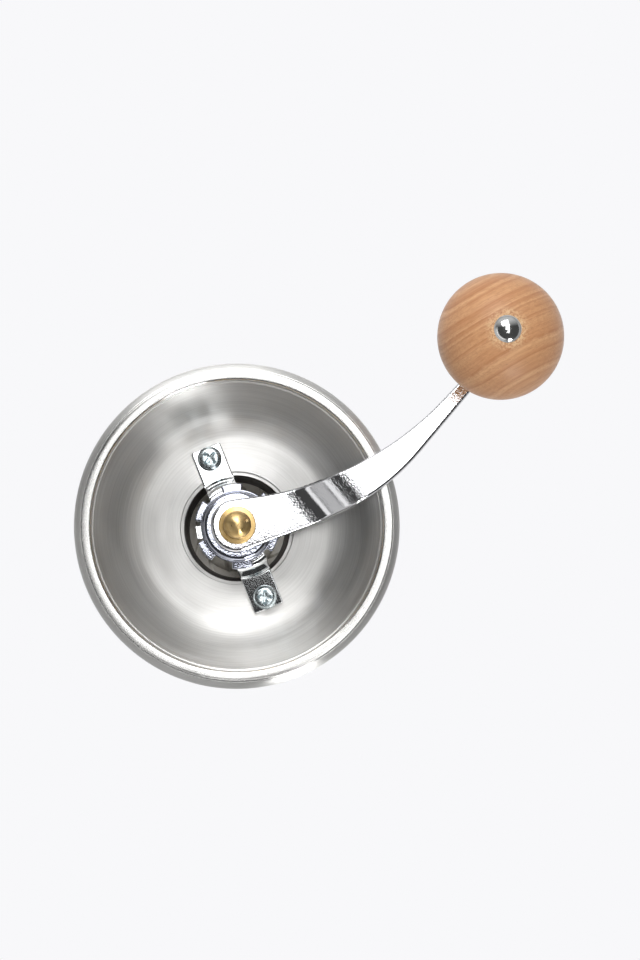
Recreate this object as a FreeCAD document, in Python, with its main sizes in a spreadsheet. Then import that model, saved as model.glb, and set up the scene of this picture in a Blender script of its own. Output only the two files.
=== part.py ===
"""Hand crank coffee grinder: an open steel hopper and its burr mill on a glass jar.

The jar's base stands at z = 0 and the drive shaft runs up the Z axis. Lengths are in millimetres
and angles in degrees. The bridge over the hopper's throat is drawn along X and turned into place.
"""
import FreeCAD, Part
import math
import operator
import os
from types import SimpleNamespace

import Sketcher
from FreeCAD import Placement, Rotation, Vector

SIZES = {
    # Glass jar
    "jar_radius": 43.0,
    "jar_height": 108.0,
    "jar_wall": 3.2,
    "jar_base": 6.0,
    "heel_round": 6.0,
    "punt_radius": 30.0,
    "punt_depth": 1.2,
    "shoulder_height": 12.0,
    "shoulder_round": 18.0,
    "neck_radius": 33.8,
    "neck_wall": 3.4,
    "neck_height": 20.0,
    "neck_round": 7.0,
    "lip_round": 1.2,
    # Quarter-turn closure between the jar and the collar
    "ridge_depth": 1.6,
    "ridge_width": 2.4,
    "ridge_span": 66.0,
    "twist_lead": 14.0,
    "lug_height": 2.2,
    "lug_span": 14.0,
    "lug_rest": 22.0,
    "start_count": 4.0,
    "closure_gap": 0.4,
    "gasket_thickness": 2.0,
    "gasket_round": 0.5,
    # Steel collar
    "collar_sheet": 1.2,
    "collar_height": 18.0,
    "collar_round": 3.0,
    "collar_hole_radius": 17.6,
    "curl_depth": 1.3,
    "curl_height": 2.8,
    # Hopper bowl
    "bowl_sheet": 0.9,
    "bowl_depth": 24.0,
    "throat_radius": 18.6,
    "foot_radius": 36.0,
    "foot_round": 10.0,
    "opening_radius": 47.1,
    "opening_round": 1.6,
    "crown_radius": 50.1,
    "rim_radius": 52.4,
    "rim_drop": 3.8,
    # Bridge over the throat and its two screws
    "bridge_angle": 111.8,
    "bridge_sheet": 1.6,
    "bridge_rise": 9.9,
    "bridge_half_length": 28.6,
    "bridge_half_width": 5.15,
    "bridge_leg_foot": 16.7,
    "bridge_leg_top": 14.3,
    "bridge_bend": 1.0,
    "bridge_pad_half": 8.6,
    "screw_spread": 24.6,
    "screw_radius": 2.0,
    "screw_head_radius": 4.0,
    "screw_head_height": 2.7,
    "screw_length": 12.0,
    "recess_arm": 2.3,
    "recess_width": 0.95,
    "recess_depth": 1.7,
    "bolt_gap": 0.25,
    "insert_radius": 3.2,
    "insert_length": 8.0,
    # Burr housing below the floor
    "flange_thickness": 9.5,
    "flange_gap": 1.2,
    "housing_radius": 25.4,
    "housing_mouth_radius": 17.2,
    "ring_top_depth": 13.9,
    "ring_radius": 20.6,
    "ring_height": 14.0,
    "ring_top_radius": 16.0,
    "ring_waist_radius": 13.9,
    "ring_waist_depth": 6.0,
    "ring_foot_radius": 16.5,
    "seat_gap": 0.1,
    "retainer_sheet": 1.4,
    "retainer_bore": 17.2,
    "retainer_screw_spread": 23.1,
    "retainer_wall": 1.1,
    "retainer_screw_radius": 1.1,
    "retainer_head_radius": 2.1,
    "retainer_head_height": 1.4,
    "retainer_screw_length": 6.0,
    "retainer_screw_count": 3.0,
    # Inner burr and its flutes
    "burr_top_radius": 8.0,
    "burr_foot_radius": 15.9,
    "burr_height": 20.0,
    "burr_overhang": 0.4,
    "flute_count": 9.0,
    "flute_twist": 26.0,
    "flute_depth": 2.6,
    "flute_foot_depth": 0.9,
    "flute_half_width": 1.5,
    "groove_count": 12.0,
    # Drive shaft
    "shaft_radius": 4.0,
    "shaft_gap": 0.05,
    "seat_half_length": 4.0,
    "seat_half_width": 3.2,
    "seat_round": 3.0,
    "shaft_collar_radius": 6.4,
    "shaft_collar_height": 1.6,
    "foot_stud_radius": 3.0,
    "foot_stud_spare": 1.6,
    "crank_square": 5.6,
    "top_stud_radius": 2.5,
    "top_stud_length": 6.5,
    "burr_washer_radius": 7.2,
    "burr_washer_sheet": 1.2,
    "burr_nut_flats": 10.0,
    "burr_nut_height": 5.0,
    # Spring that holds the inner burr down
    "spring_radius": 7.4,
    "spring_wire": 1.2,
    "spring_turns": 5.5,
    "spring_seat_gap": 0.05,
    "spring_washer_radius": 9.0,
    "spring_washer_sheet": 0.8,
    # Grind adjuster
    "sleeve_radius": 6.0,
    "sleeve_hang": 4.0,
    "sleeve_stand": 1.6,
    "sleeve_flat_half_length": 5.4,
    "sleeve_flat_half_width": 4.8,
    "sleeve_flat_round": 3.9,
    "sleeve_flat_reach": 1.9,
    "slide_gap": 0.1,
    "wheel_radius": 13.9,
    "wheel_flange": 3.0,
    "wheel_boss_radius": 11.2,
    "wheel_boss_height": 2.5,
    "wheel_boss_bevel": 0.9,
    "lobe_count": 6.0,
    "lobe_angle": 98.0,
    "notch_span": 30.0,
    "notch_floor_radius": 11.4,
    "detent_sheet": 0.6,
    "detent_radius": 10.6,
    "detent_angle": 189.0,
    "detent_reach": 13.4,
    "detent_half_width": 2.1,
    "detent_height": 2.7,
    # Crank arm
    "crank_angle": 35.2,
    "crank_radius": 100.0,
    "crank_sheet": 3.0,
    "crank_rise": 10.0,
    "crank_washer_radius": 7.6,
    "crank_washer_sheet": 0.5,
    "hub_radius": 8.4,
    "eye_radius": 5.2,
    "first_bend": 22.0,
    "second_bend": 33.4,
    "bend_skew": 5.0,
    "bend_round": 2.5,
    "upper_elbow_reach": 41.6,
    "upper_elbow_drop": 12.3,
    "upper_elbow_round": 100.0,
    "lower_elbow_reach": 42.4,
    "lower_elbow_drop": 19.6,
    "lower_elbow_round": 74.0,
    "tip_upper_drop": 0.4,
    "tip_lower_drop": 4.3,
    # Dome nut on the shaft
    "dome_flange_radius": 6.0,
    "dome_flange_height": 2.6,
    "dome_radius": 4.4,
    "dome_height": 10.0,
    # Turning knob
    "knob_radius": 19.7,
    "knob_foot_depth": 18.6,
    "knob_clearance": 0.2,
    "knob_bore_gap": 0.1,
    "knob_washer_radius": 5.6,
    "knob_washer_sheet": 1.0,
    "post_radius": 3.0,
    "post_thread_radius": 2.5,
    "post_head_radius": 4.2,
    "post_head_height": 3.6,
    "post_head_sink": 2.0,
    "post_head_gap": 0.35,
    "post_nut_flats": 8.0,
    "post_nut_height": 2.8,
    "post_nut_spare": 0.8,
}

doc = FreeCAD.newDocument("coffee_grinder")
sheet = doc.addObject("Spreadsheet::Sheet", "Sizes")
for row, (name, number) in enumerate(SIZES.items(), start=1):
    sheet.set(f"A{row}", name)
    sheet.set(f"B{row}", str(number))
    sheet.setAlias(f"B{row}", name)
doc.recompute()

SIGNS = {"+": operator.add, "-": operator.sub, "*": operator.mul, "/": operator.truediv}


class Size:
    """A number that keeps the spreadsheet formula it comes from."""

    def __init__(self, number, formula):
        self.number = number
        self.formula = formula

    def __add__(self, other):
        return combine(self, "+", other)

    def __radd__(self, other):
        return combine(other, "+", self)

    def __sub__(self, other):
        return combine(self, "-", other)

    def __rsub__(self, other):
        return combine(other, "-", self)

    def __mul__(self, other):
        return combine(self, "*", other)

    def __rmul__(self, other):
        return combine(other, "*", self)

    def __truediv__(self, other):
        return combine(self, "/", other)

    def __neg__(self):
        return combine(0, "-", self)


def as_size(value):
    if isinstance(value, Size):
        return value
    return Size(float(value), repr(float(value)))


def combine(left, sign, right):
    left, right = as_size(left), as_size(right)
    return Size(SIGNS[sign](left.number, right.number), f"({left.formula} {sign} {right.formula})")


size = SimpleNamespace(**{name: Size(sheet.get(name), f"Sizes.{name}") for name in SIZES})
pieces = []


def bind(thing, prop, value):
    """Tie a property to the formula of its size."""
    thing.setExpression(prop, as_size(value).formula)


def new_body(label, angle=0):
    """A sub-part under its own label, turned about the shaft's axis."""
    body = doc.addObject("PartDesign::Body", label)
    body.Label = label
    body.Placement = Placement(Vector(), Rotation(Vector(0, 0, 1), as_size(angle).number))
    pieces.append(body)
    return body


def origin_feature(body, role):
    return next(f for f in body.Origin.OriginFeatures if f.Role == role)


def new_sketch(body, plane, offset=(0, 0, 0), axis=Vector(0, 0, 1), angle=0):
    """A sketch on an origin plane, shifted along its own axes and turned about one of them."""
    sketch = body.newObject("Sketcher::SketchObject", "Sketch")
    sketch.AttachmentSupport = [(origin_feature(body, plane), "")]
    sketch.MapMode = "FlatFace"
    shift = Vector(*[as_size(part).number for part in offset])
    sketch.AttachmentOffset = Placement(shift, Rotation(axis, as_size(angle).number))
    for letter, part in zip("xyz", offset):
        bind(sketch, f"AttachmentOffset.Base.{letter}", part)
    return sketch


def hold(sketch, value, *constraint):
    """Add a dimension to a sketch and tie it to its size."""
    index = sketch.addConstraint(Sketcher.Constraint(*constraint, value.number))
    bind(sketch, f"Constraints[{index}]", value)


def place_point(sketch, geometry, end, across, up):
    """Hold one point of a sketch at two sizes from the sketch's origin."""
    for kind, axis, value in (("DistanceX", -2, as_size(across)), ("DistanceY", -1, as_size(up))):
        if abs(value.number) < 1e-9:
            sketch.addConstraint(Sketcher.Constraint("PointOnObject", geometry, end, axis))
        elif value.number > 0:
            hold(sketch, value, kind, -1, 1, geometry, end)
        else:
            hold(sketch, -value, kind, geometry, end, -1, 1)


def draw_outline(sketch, corners):
    """Draw a closed outline from corners (across, up), each with a rounding as a third value or none."""
    count = len(corners)
    spots = [Vector(as_size(c[0]).number, as_size(c[1]).number, 0) for c in corners]
    roundings = [as_size(c[2]) if len(c) > 2 else None for c in corners]
    arrivals, middles, departures = [], [], []
    for i, (here, rounding) in enumerate(zip(spots, roundings)):
        back = (spots[i - 1] - here).normalize()
        ahead = (spots[(i + 1) % count] - here).normalize()
        half = back.getAngle(ahead) / 2
        radius = rounding.number if rounding else 0
        centre = here + (back + ahead).normalize() * (radius / math.sin(half)) if rounding else here
        arrivals.append(here + back * (radius / math.tan(half)))
        middles.append(centre + (here - centre).normalize() * radius if rounding else here)
        departures.append(here + ahead * (radius / math.tan(half)))
    lines = []
    for i in range(count):
        lines.append(sketch.addGeometry(Part.LineSegment(departures[i], arrivals[(i + 1) % count])))
    for i, corner in enumerate(corners):
        before, after = lines[i - 1], lines[i]
        if not roundings[i]:
            sketch.addConstraint(Sketcher.Constraint("Coincident", before, 2, after, 1))
            place_point(sketch, after, 1, corner[0], corner[1])
            continue
        arc = sketch.addGeometry(Part.Arc(arrivals[i], middles[i], departures[i]))
        forward = sketch.getPoint(arc, 1).distanceToPoint(arrivals[i]) < 1e-6
        first, last = (1, 2) if forward else (2, 1)
        sketch.addConstraint(Sketcher.Constraint("Tangent", before, 2, arc, first))
        sketch.addConstraint(Sketcher.Constraint("Tangent", arc, last, after, 1))
        hold(sketch, roundings[i], "Radius", arc)
        point = sketch.addGeometry(Part.Point(spots[i]), True)
        place_point(sketch, point, 1, corner[0], corner[1])
        sketch.addConstraint(Sketcher.Constraint("PointOnObject", point, 1, before))
        sketch.addConstraint(Sketcher.Constraint("PointOnObject", point, 1, after))


def draw_circle(sketch, across, up, radius):
    spot = Vector(as_size(across).number, as_size(up).number, 0)
    circle = sketch.addGeometry(Part.Circle(spot, Vector(0, 0, 1), as_size(radius).number))
    place_point(sketch, circle, 3, across, up)
    hold(sketch, as_size(radius), "Radius", circle)


def add_feature(body, kind, sketch):
    feature = body.newObject(f"PartDesign::{kind}", kind)
    feature.Profile = sketch
    return feature


def revolve(body, corners, out=0):
    """A solid turned about an upright axis that stands out along X."""
    sketch = new_sketch(body, "XZ_Plane", (out, 0, 0))
    draw_outline(sketch, corners)
    feature = add_feature(body, "Revolution", sketch)
    feature.ReferenceAxis = (sketch, ["V_Axis"])
    doc.recompute()
    return feature


def revolve_part_way(body, corners, span, up=0, lean=0):
    """An arc of a turned ring centred on X, with its plane leaning about X."""
    sketch = new_sketch(body, "XZ_Plane", (0, up, 0), Vector(1, 0, 0), lean)
    draw_outline(sketch, corners)
    feature = add_feature(body, "Revolution", sketch)
    feature.ReferenceAxis = (sketch, ["V_Axis"])
    feature.Midplane = True
    bind(feature, "Angle", span)
    doc.recompute()
    return feature


def draw_plan(body, low, outlines, circles, out, turn):
    sketch = new_sketch(body, "XY_Plane", (out, 0, low), angle=turn)
    for corners in outlines:
        draw_outline(sketch, corners)
    for across, up, radius in circles:
        draw_circle(sketch, across, up, radius)
    return sketch


def pad(body, low, height, outlines=(), circles=(), out=0, turn=0):
    """Raise a plan from one level by a height."""
    feature = add_feature(body, "Pad", draw_plan(body, low, outlines, circles, out, turn))
    bind(feature, "Length", height)
    doc.recompute()
    return feature


def pocket(body, low, height, outlines=(), circles=(), out=0, turn=0):
    """Cut a plan upwards from one level by a height."""
    before = body.Shape.Volume
    feature = add_feature(body, "Pocket", draw_plan(body, low, outlines, circles, out, turn))
    feature.Reversed = True
    bind(feature, "Length", height)
    doc.recompute()
    if body.Shape.Volume >= before:
        raise RuntimeError(f"a pocket in {body.Label} cuts nothing")
    return feature


def cut_flute(body, top, top_section, foot, foot_section, twist):
    """Cut a slanted groove between a section at the top and one at the foot."""
    before = body.Shape.Volume
    upper = draw_plan(body, top, [top_section], (), 0, 0)
    lower = draw_plan(body, foot, [foot_section], (), 0, twist)
    feature = add_feature(body, "SubtractiveLoft", upper)
    feature.Sections = [lower]
    feature.Ruled = True
    doc.recompute()
    if body.Shape.Volume >= before:
        raise RuntimeError(f"a flute in {body.Label} cuts nothing")
    return feature


def repeat_around(body, features, count):
    """Repeat features evenly about the shaft's axis."""
    feature = body.newObject("PartDesign::PolarPattern", "PolarPattern")
    feature.Originals = features
    feature.Axis = (origin_feature(body, "Z_Axis"), [""])
    feature.Angle = 360
    bind(feature, "Occurrences", count)
    body.Tip = feature
    doc.recompute()
    return feature


def rectangle(half_length, half_width, rounding=None):
    tail = () if rounding is None else (rounding,)
    signs = ((-1, -1), (1, -1), (1, 1), (-1, 1))
    return [(half_length * across, half_width * up, *tail) for across, up in signs]


def hexagon(flats):
    angles = [math.radians(60 * k) for k in range(6)]
    return [(flats / math.sqrt(3) * math.cos(a), flats / math.sqrt(3) * math.sin(a)) for a in angles]


def tube_section(inner, outer, low, high, rounding=None):
    tail = () if rounding is None else (rounding,)
    return [(inner, low, *tail), (outer, low, *tail), (outer, high, *tail), (inner, high, *tail)]


def tangent_corner(radius, first_angle, second_angle):
    """Where two tangents of a circle about the origin meet, from the angles of their touching points."""
    middle = math.radians((first_angle + second_angle) / 2)
    half = math.radians((second_angle - first_angle) / 2)
    return radius * (math.cos(middle) / math.cos(half)), radius * (math.sin(middle) / math.cos(half))


# Levels, from the table up
PLATE_LOW = size.jar_height + size.gasket_thickness
PLATE_TOP = PLATE_LOW + size.collar_sheet
FLOOR = PLATE_TOP + size.bowl_sheet
RIM_TOP = FLOOR + size.bowl_depth
BRIDGE_LOW = FLOOR + size.bridge_rise
BRIDGE_TOP = BRIDGE_LOW + size.bridge_sheet
WHEEL_LOW = BRIDGE_TOP + size.detent_sheet
WHEEL_TOP = WHEEL_LOW + size.wheel_flange + size.wheel_boss_height
SLEEVE_TOP = WHEEL_TOP + size.sleeve_stand
CRANK_LOW = SLEEVE_TOP + size.crank_washer_sheet
CRANK_TOP = CRANK_LOW + size.crank_sheet
ARM_LOW = CRANK_LOW + size.crank_rise
ARM_TOP = ARM_LOW + size.crank_sheet
KNOB_LOW = ARM_TOP + size.knob_washer_sheet + size.knob_clearance
KNOB_CENTRE = KNOB_LOW + size.knob_foot_depth
KNOB_TOP = KNOB_CENTRE + size.knob_radius
FLANGE_LOW = PLATE_LOW - size.flange_thickness
RING_TOP = PLATE_LOW - size.ring_top_depth
RING_LOW = RING_TOP - size.ring_height
BURR_LOW = RING_LOW - size.burr_overhang
BURR_TOP = BURR_LOW + size.burr_height
SPRING_SEAT = BURR_TOP + size.shaft_collar_height
SPRING_LOW = SPRING_SEAT + size.spring_washer_sheet
NECK_BORE = size.neck_radius - size.neck_wall
NECK_LOW = size.jar_height - size.neck_height
SHOULDER_LOW = NECK_LOW - size.shoulder_height
COLLAR_INNER = size.neck_radius + size.ridge_depth + size.closure_gap
COLLAR_OUTER = COLLAR_INNER + size.collar_sheet
SKIRT_LOW = PLATE_TOP - size.collar_height
LUG_LOW = SKIRT_LOW + size.closure_gap
LUG_TOP = LUG_LOW + size.lug_height
HOLE_RADIUS = size.screw_radius + size.bolt_gap
RETAINER_BOSS = size.retainer_screw_radius + size.retainer_wall
# Shares of a full round, just under one where two roundings meet
NEARLY_FULL = 0.95
PAN_ROUNDING = 0.75
DOME_ROUNDING = 0.85


def make_glass_jar():
    """A shouldered jar with a push-up base and four slanting ridges on its neck."""
    body = new_body("glass_jar", size.bridge_angle + size.lug_rest)
    inner_drop = size.jar_wall / 3
    inner_radius = size.jar_radius - size.jar_wall
    revolve(body, [
        (0, size.punt_depth),
        (size.punt_radius, size.punt_depth),
        (size.punt_radius + size.punt_depth, 0),
        (size.jar_radius, 0, size.heel_round),
        (size.jar_radius, SHOULDER_LOW, size.shoulder_round),
        (size.neck_radius, NECK_LOW, size.neck_round),
        (size.neck_radius, size.jar_height, size.lip_round),
        (NECK_BORE, size.jar_height, size.lip_round),
        (NECK_BORE, NECK_LOW - inner_drop, size.neck_round + size.neck_wall),
        (inner_radius, SHOULDER_LOW - inner_drop, size.shoulder_round - size.jar_wall),
        (inner_radius, size.jar_base, size.heel_round),
        (0, size.jar_base),
    ])
    crest = size.neck_radius + size.ridge_depth
    root = size.neck_radius - size.neck_wall / 4
    half_root, half_crest = size.ridge_width / 2, size.ridge_width / 4
    span_below = size.lug_rest + size.lug_span / 2
    middle = LUG_TOP + size.closure_gap + half_root + size.twist_lead * span_below / 360
    lead = math.degrees(math.atan(size.twist_lead.number / (2 * math.pi * crest.number)))
    section = [(root, -half_root), (crest, -half_crest), (crest, half_crest), (root, half_root)]
    ridge = revolve_part_way(body, section, size.ridge_span, middle, lead)
    repeat_around(body, [ridge], size.start_count)


def make_jar_gasket():
    body = new_body("jar_gasket")
    outer = COLLAR_INNER - size.collar_round + size.collar_sheet
    revolve(body, tube_section(NECK_BORE, outer, size.jar_height, PLATE_LOW, size.gasket_round))


def make_jar_collar():
    """A pressed cap with a curled edge, four inward lugs and the hopper's throat through its top."""
    body = new_body("jar_collar", size.bridge_angle)
    curl_radius = COLLAR_OUTER + size.curl_depth
    curl_top = SKIRT_LOW + size.curl_height
    revolve(body, [
        (size.collar_hole_radius, PLATE_LOW),
        (COLLAR_INNER, PLATE_LOW, size.collar_round - size.collar_sheet),
        (COLLAR_INNER, SKIRT_LOW),
        (curl_radius, SKIRT_LOW, size.curl_depth * NEARLY_FULL),
        (curl_radius, curl_top, size.curl_depth * NEARLY_FULL),
        (COLLAR_OUTER, curl_top),
        (COLLAR_OUTER, PLATE_TOP, size.collar_round),
        (size.collar_hole_radius, PLATE_TOP),
    ])
    tip = size.neck_radius + size.closure_gap
    lug = revolve_part_way(
        body, tube_section(tip, COLLAR_INNER + size.collar_sheet / 2, LUG_LOW, LUG_TOP), size.lug_span)
    repeat_around(body, [lug], size.start_count)
    cut_screw_holes(body, PLATE_LOW, size.collar_sheet)


def cut_screw_holes(body, low, height):
    spread = size.screw_spread
    pocket(body, low, height, circles=[(spread, 0, HOLE_RADIUS), (-spread, 0, HOLE_RADIUS)])


def make_hopper_bowl():
    """A spun bowl with a flat floor, a leaning wall and a rim folded out and down."""
    body = new_body("hopper_bowl", size.bridge_angle)
    wall_lean = math.atan2(size.bowl_depth.number, size.opening_radius.number - size.foot_radius.number)
    sheet_out = size.bowl_sheet * math.tan(wall_lean / 2)
    rim_low = RIM_TOP - size.rim_drop
    revolve(body, [
        (size.throat_radius, FLOOR - size.bowl_sheet),
        (size.foot_radius + sheet_out, FLOOR - size.bowl_sheet, size.foot_round + size.bowl_sheet),
        (size.opening_radius + sheet_out, RIM_TOP - size.bowl_sheet, size.opening_round / 4),
        (size.crown_radius - sheet_out, RIM_TOP - size.bowl_sheet, size.opening_round / 4),
        (size.rim_radius - size.bowl_sheet, rim_low - size.bowl_sheet / 4),
        (size.rim_radius, rim_low),
        (size.crown_radius, RIM_TOP, size.opening_round / 2),
        (size.opening_radius, RIM_TOP, size.opening_round),
        (size.foot_radius, FLOOR, size.foot_round),
        (size.throat_radius, FLOOR),
    ])
    cut_screw_holes(body, FLOOR - size.bowl_sheet, size.bowl_sheet)


def make_bridge_bracket():
    """A hat-shaped strip across the throat: turned as a dished plate and trimmed to the strip's plan."""
    body = new_body("bridge_bracket", size.bridge_angle)
    leg_lean = math.atan2(size.bridge_rise.number, size.bridge_leg_foot.number - size.bridge_leg_top.number)
    inset = size.bridge_sheet * math.tan(leg_lean / 2)
    blank = size.bridge_half_length + size.bridge_half_width
    tab_top = FLOOR + size.bridge_sheet
    revolve(body, [
        (0, BRIDGE_LOW),
        (size.bridge_leg_top - inset, BRIDGE_LOW, size.bridge_bend),
        (size.bridge_leg_foot - inset, FLOOR, size.bridge_bend + size.bridge_sheet),
        (blank, FLOOR),
        (blank, tab_top),
        (size.bridge_leg_foot, tab_top, size.bridge_bend),
        (size.bridge_leg_top, BRIDGE_TOP, size.bridge_bend + size.bridge_sheet),
        (0, BRIDGE_TOP),
    ])
    end, side, middle = size.bridge_half_length, size.bridge_half_width, size.bridge_pad_half
    corner = size.bridge_bend
    strip = [
        (-end, -side, corner), (-middle, -side, corner), (-middle, -middle, corner),
        (middle, -middle, corner), (middle, -side, corner), (end, -side, corner),
        (end, side, corner), (middle, side, corner), (middle, middle, corner),
        (-middle, middle, corner), (-middle, side, corner), (-end, side, corner),
    ]
    height = size.bridge_rise + size.bridge_sheet
    pocket(body, FLOOR, height, outlines=[strip], circles=[(0, 0, blank + size.bridge_sheet)])
    cut_screw_holes(body, FLOOR, size.bridge_sheet)
    pocket(body, BRIDGE_LOW, size.bridge_sheet, outlines=[sleeve_flats(size.slide_gap)])


def sleeve_flats(gap):
    """The flatted section that keeps the bearing sleeve from turning in the bridge."""
    length = size.sleeve_flat_half_length + gap
    width = size.sleeve_flat_half_width + gap
    return rectangle(length, width, size.sleeve_flat_round + gap)


def make_bridge_screws():
    """Two pan-head screws with a cross recess."""
    body = new_body("bridge_screws", size.bridge_angle)
    head_low = FLOOR + size.bridge_sheet
    head_top = head_low + size.screw_head_height
    shank = revolve(body, [
        (0, head_low - size.screw_length),
        (size.screw_radius, head_low - size.screw_length),
        (size.screw_radius, head_low),
        (size.screw_head_radius, head_low),
        (size.screw_head_radius, head_top, size.screw_head_height * PAN_ROUNDING),
        (0, head_top),
    ], size.screw_spread)
    arm, side = size.recess_arm, size.recess_width / 2
    cross = [(-arm, -side), (-side, -side), (-side, -arm), (side, -arm), (side, -side), (arm, -side),
             (arm, side), (side, side), (side, arm), (-side, arm), (-side, side), (-arm, side)]
    recess = pocket(body, head_top - size.recess_depth, size.recess_depth, [cross], out=size.screw_spread)
    repeat_around(body, [shank, recess], as_size(2))


def make_screw_inserts():
    """Two threaded brass inserts in the housing's flange."""
    body = new_body("screw_inserts", size.bridge_angle)
    bore = size.screw_radius + size.shaft_gap
    section = tube_section(bore, size.insert_radius, PLATE_LOW - size.insert_length, PLATE_LOW)
    insert = revolve(body, section, size.screw_spread)
    repeat_around(body, [insert], as_size(2))


def make_burr_housing():
    """The black throat under the hopper: a thick flange, a funnel and a seat for the ring burr."""
    body = new_body("burr_housing", size.bridge_angle)
    seat = size.ring_radius + size.seat_gap
    flange = NECK_BORE - size.flange_gap
    revolve(body, [
        (size.housing_mouth_radius, PLATE_LOW),
        (size.ring_top_radius, RING_TOP),
        (seat, RING_TOP),
        (seat, RING_LOW),
        (size.housing_radius, RING_LOW),
        (size.housing_radius, FLANGE_LOW, size.flange_gap),
        (flange, FLANGE_LOW, size.flange_gap),
        (flange, PLATE_LOW),
    ])
    spread = size.screw_spread
    seats = [(spread, 0, size.insert_radius), (-spread, 0, size.insert_radius)]
    pocket(body, PLATE_LOW - size.insert_length, size.insert_length, circles=seats)
    clearance = [(spread, 0, HOLE_RADIUS), (-spread, 0, HOLE_RADIUS)]
    tip = FLOOR + size.bridge_sheet - size.screw_length
    depth = PLATE_LOW - size.insert_length - tip + size.bolt_gap
    if depth.number > 0:
        pocket(body, tip - size.bolt_gap, depth, circles=clearance)
    boss_height = size.retainer_screw_length + size.retainer_wall
    boss = pad(body, RING_LOW, boss_height, circles=[(0, 0, RETAINER_BOSS)], out=size.retainer_screw_spread)
    hole = pocket(
        body, RING_LOW, size.retainer_screw_length, circles=[(0, 0, size.retainer_screw_radius)],
        out=size.retainer_screw_spread)
    repeat_around(body, [boss, hole], size.retainer_screw_count)


def make_ring_burr():
    """The fixed burr: a waisted bore with slanted grooves."""
    body = new_body("ring_burr")
    revolve(body, [
        (size.ring_foot_radius, RING_LOW),
        (size.ring_radius, RING_LOW),
        (size.ring_radius, RING_TOP),
        (size.ring_top_radius, RING_TOP),
        (size.ring_waist_radius, RING_TOP - size.ring_waist_depth),
    ])
    mouth = size.ring_waist_radius - size.flute_depth
    width = size.flute_half_width

    def section(depth):
        return [(mouth, -width), (depth, -width / 4), (depth, width / 4), (mouth, width)]

    groove = cut_flute(
        body, RING_TOP, section(size.ring_top_radius + size.flute_foot_depth),
        RING_LOW, section(size.ring_foot_radius + size.flute_foot_depth), -size.flute_twist)
    repeat_around(body, [groove], size.groove_count)


def make_ring_retainer():
    """A flat ring under the ring burr, with an ear round each of its screws."""
    body = new_body("ring_retainer", size.bridge_angle)
    low = RING_LOW - size.retainer_sheet
    revolve(body, tube_section(size.retainer_bore, size.housing_radius, low, RING_LOW))
    ear = pad(body, low, size.retainer_sheet, circles=[(0, 0, RETAINER_BOSS)], out=size.retainer_screw_spread)
    hole = pocket(
        body, low, size.retainer_sheet, circles=[(0, 0, size.retainer_screw_radius + size.seat_gap)],
        out=size.retainer_screw_spread)
    repeat_around(body, [ear, hole], size.retainer_screw_count)


def make_retainer_screws():
    """Three small slotted screws that hold the retainer from below."""
    body = new_body("retainer_screws", size.bridge_angle)
    head_top = RING_LOW - size.retainer_sheet
    head_low = head_top - size.retainer_head_height
    tip = head_top + size.retainer_screw_length
    shank = revolve(body, [
        (0, head_low),
        (size.retainer_head_radius, head_low, size.retainer_head_height / 2),
        (size.retainer_head_radius, head_top),
        (size.retainer_screw_radius, head_top),
        (size.retainer_screw_radius, tip),
        (0, tip),
    ], size.retainer_screw_spread)
    bar = rectangle(size.retainer_head_radius + size.seat_gap, size.retainer_head_radius / 6)
    slot = pocket(body, head_low, size.retainer_head_height / 2, [bar], out=size.retainer_screw_spread)
    repeat_around(body, [shank, slot], size.retainer_screw_count)


def burr_seat(gap):
    """The flatted section where the inner burr sits on the shaft."""
    return rectangle(size.seat_half_length + gap, size.seat_half_width + gap, size.seat_round + gap)


def make_inner_burr():
    """The turning burr: a cone with slanted flutes that run out towards its foot."""
    body = new_body("inner_burr", size.crank_angle)
    revolve(body, [
        (0, BURR_LOW),
        (size.burr_foot_radius, BURR_LOW),
        (size.burr_foot_radius, BURR_LOW + size.burr_overhang),
        (size.burr_top_radius, BURR_TOP),
        (0, BURR_TOP),
    ])
    width, outside = size.flute_half_width, size.flute_depth

    def section(radius, depth):
        floor = radius - depth
        return [(floor, -width / 4), (radius + outside, -width), (radius + outside, width), (floor, width / 4)]

    flute = cut_flute(
        body, BURR_TOP, section(size.burr_top_radius, size.flute_depth),
        BURR_LOW, section(size.burr_foot_radius, size.flute_foot_depth), size.flute_twist)
    repeat_around(body, [flute], size.flute_count)
    pocket(body, BURR_LOW, size.burr_height, outlines=[burr_seat(size.shaft_gap)])


def make_drive_shaft():
    """The shaft, built up from its lower stud to the stud that takes the dome nut."""
    body = new_body("drive_shaft", size.crank_angle)
    stud_low = BURR_LOW - size.burr_washer_sheet - size.burr_nut_height - size.foot_stud_spare
    square_height = size.crank_sheet - size.seat_gap
    pad(body, stud_low, BURR_LOW - stud_low, circles=[(0, 0, size.foot_stud_radius)])
    pad(body, BURR_LOW, size.burr_height, outlines=[burr_seat(0)])
    pad(body, BURR_TOP, size.shaft_collar_height, circles=[(0, 0, size.shaft_collar_radius)])
    pad(body, SPRING_SEAT, CRANK_LOW - SPRING_SEAT, circles=[(0, 0, size.shaft_radius)])
    pad(body, CRANK_LOW, square_height, outlines=[rectangle(size.crank_square / 2, size.crank_square / 2)])
    stud = square_height + size.top_stud_length
    pad(body, CRANK_LOW, stud, circles=[(0, 0, size.top_stud_radius)])


def make_washer(label, bore, radius, low, thickness, angle=0, out=0):
    body = new_body(label, angle)
    revolve(body, tube_section(bore, radius, low, low + thickness, thickness / 4), out)


def make_hex_nut(label, flats, bore, low, height, angle, out=0):
    body = new_body(label, angle)
    pad(body, low, height, outlines=[hexagon(flats)], circles=[(0, 0, bore)], out=out)


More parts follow.
